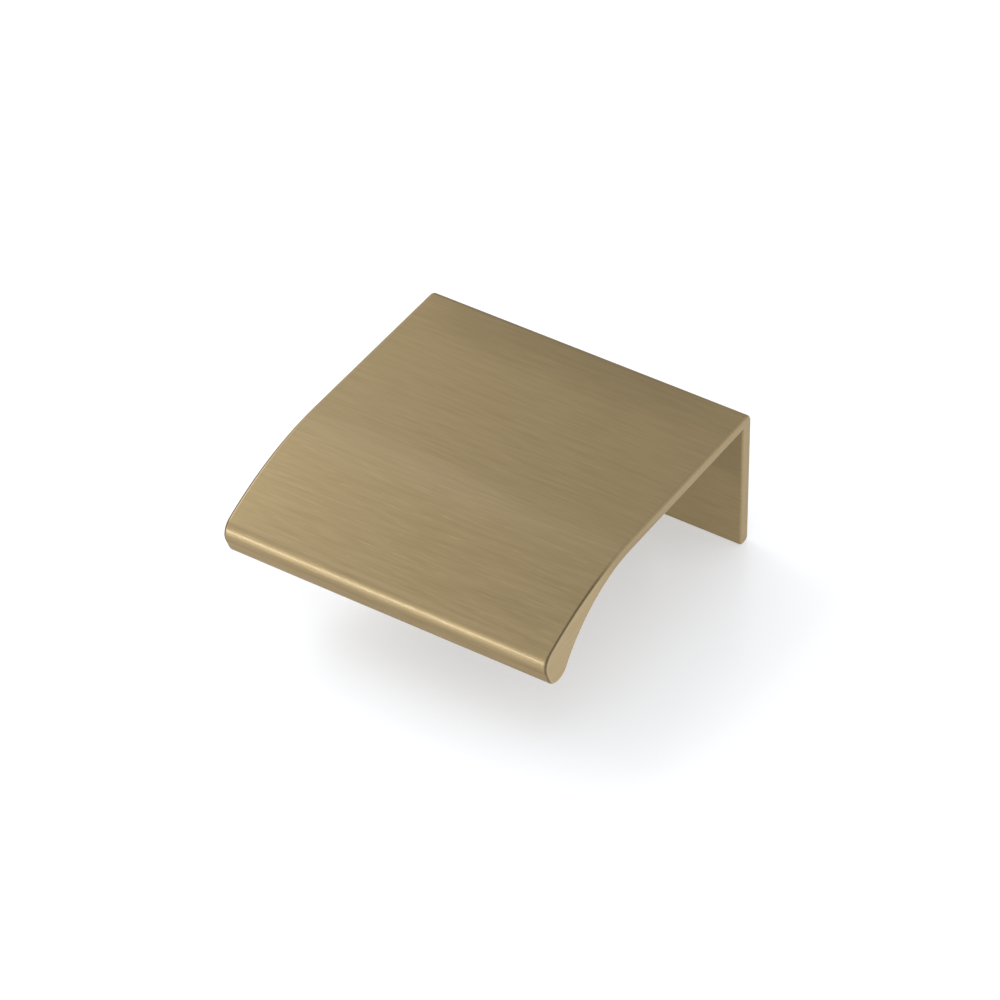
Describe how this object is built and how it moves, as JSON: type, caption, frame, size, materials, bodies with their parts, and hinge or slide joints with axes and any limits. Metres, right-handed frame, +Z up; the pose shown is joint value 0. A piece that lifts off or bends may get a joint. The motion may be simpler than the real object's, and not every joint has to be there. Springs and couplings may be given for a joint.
{
  "type": "profile handle",
  "caption": "Short extruded edge pull for a drawer or cabinet front: a flat arm over the panel's top edge, a screw flange behind it and a curved wedge lip in front.",
  "frame": {"origin": "midway between the two screw holes, on the flange's inner face, which lies against the back of the drawer front", "axes": "+X along the extrusion, +Y backwards, the way the screws come out; -Y is the front, where the lip is; +Z up, from the flange's foot to the arm"},
  "size_m": [0.04, 0.0409, 0.0177],
  "materials": {
    "brushed_anodised": "brushed along the extrusion and anodised in a muted brass tone, satin"
  },
  "bodies": {
    "root": {"handle": "brushed_anodised"}
  },
  "joints": []
}
